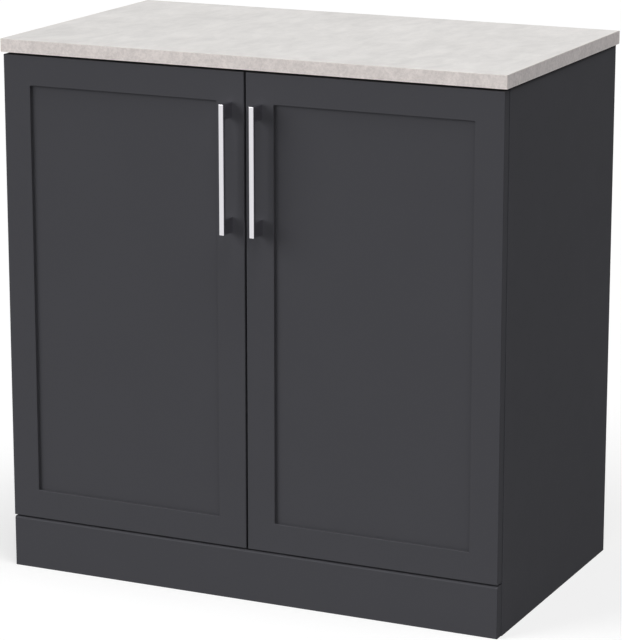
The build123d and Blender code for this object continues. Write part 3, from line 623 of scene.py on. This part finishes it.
for side_name in ("left", "right"):
    handle_low, handle_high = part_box("handle_" + side_name)
    depth = handle_high.y - handle_low.y
    tall = handle_high.z - handle_low.z
    inside = bar_thickness + fillet
    outline = [(depth, 0), (depth, leg_height)]
    outline += list(reversed(arc((inside, leg_height + fillet), fillet, 180)))
    outline += list(reversed(arc((inside, tall - leg_height - fillet), fillet, 90)))
    outline += [(depth, tall - leg_height), (depth, tall)]
    outline += arc((bar_end_round, tall - bar_end_round), bar_end_round, 90, 3)
    outline += arc((bar_end_round, bar_end_round), bar_end_round, 180, 3)
    handle_mesh = bmesh.new()
    sides = [[handle_mesh.verts.new((x, handle_low.y + y, handle_low.z + z)) for y, z in outline]
             for x in (handle_low.x + bar_ease, handle_high.x - bar_ease)]
    for loop in sides:
        handle_mesh.faces.new(loop)
    for k in range(len(outline)):
        after = (k + 1) % len(outline)
        handle_mesh.faces.new([sides[0][k], sides[0][after], sides[1][after], sides[1][k]])
    # the edges of the two side faces are rounded, but not where the legs stand on the door
    arrises = [edge for edge in handle_mesh.edges
               if abs(edge.verts[0].co.x - edge.verts[1].co.x) < 1e-6
               and min(corner.co.y for corner in edge.verts) < handle_high.y - 1e-4]
    bmesh.ops.bevel(handle_mesh, geom=arrises, offset=arris_round, segments=3, profile=0.5, affect="EDGES")
    handle = piece("chrome_handle_" + side_name, handle_mesh, polished_chrome, side_name + "_door",
                   "handle_chrome", "handle_" + side_name, crease=50)
    handle.modifiers.new("flat_faces_stay_flat", "WEIGHTED_NORMAL").keep_sharp = True

    screw_mesh = bmesh.new()
    for up in (handle_low.z + leg_height / 2, handle_high.z - leg_height / 2):
        seat = ((handle_low.x + handle_high.x) / 2, door_back, up)
        screw(screw_mesh, seat, (0, 1, 0), *machine_screw, machine_screw_length)
    piece("machine_screws_" + side_name, screw_mesh, zinc, side_name + "_door", "zinc_screws",
          "handle_screws_" + side_name)

# Concealed hinges: a die-cast cup let into the door, bent steel links on riveted pins, a pressed channel
# arm and a mounting plate, all nickel plated, with the screws of the cup, the plate and the arm.
cup_nickel = plated("cup_nickel", (0.71, 0.69, 0.66), 0.42)
link_steel = plated("link_steel", (0.62, 0.61, 0.59), 0.44)
cup_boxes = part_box("hinge_cup_lower_left"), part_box("hinge_cup_upper_left")
cup_screw_inset, cup_screw_spread, cup_screw_length = 0.0165, 0.024, 0.0122
flange_thickness = 0.0012
plate_thickness = 0.002
plate_screw_line, plate_screw_spread, plate_screw_length = 0.038, 0.016, 0.014
arm_rise = 0.012
arm_screw, arm_screw_lines, arm_screw_length = (0.0034, 0.0016, 0.0020), (0.030, 0.052), 0.008
for side, side_name in ((-1, "left"), (1, "right")):
    for level in ("lower", "upper"):
        for stem, metal in (("hinge_cup", cup_nickel), ("hinge_arm", cup_nickel),
                            ("mounting_plate", cup_nickel), ("outer_links", link_steel),
                            ("inner_link", link_steel)):
            nodes[f"{stem}_{level}_{side_name}"].data.materials[0] = metal
    for stem in ("arm_pins", "cup_pins"):
        nodes[f"{stem}_{side_name}"].data.materials[0] = link_steel

    cup_screw_mesh = bmesh.new()
    plate_screw_mesh = bmesh.new()
    for cup_low, cup_high in cup_boxes:
        centre = (cup_low.z + cup_high.z) / 2
        for up in (centre - cup_screw_spread, centre + cup_screw_spread):
            seat = (side * (inner_face - cup_screw_inset), door_back + flange_thickness, up)
            screw(cup_screw_mesh, seat, (0, 1, 0), *wood_screw, cup_screw_length)
        for up in (centre - plate_screw_spread, centre + plate_screw_spread):
            seat = (side * (inner_face - plate_thickness), door_back + plate_screw_line, up)
            screw(plate_screw_mesh, seat, (-side, 0, 0), *wood_screw, plate_screw_length)
        for back in arm_screw_lines:
            seat = (side * (inner_face - arm_rise), door_back + back, centre)
            screw(plate_screw_mesh, seat, (-side, 0, 0), *arm_screw, arm_screw_length)
    piece("cup_fixing_screws_" + side_name, cup_screw_mesh, zinc, side_name + "_door", "zinc_screws",
          "cup_screws_" + side_name)
    piece("plate_fixing_screws_" + side_name, plate_screw_mesh, zinc, "carcass", "zinc_screws",
          "plate_screws_" + side_name)
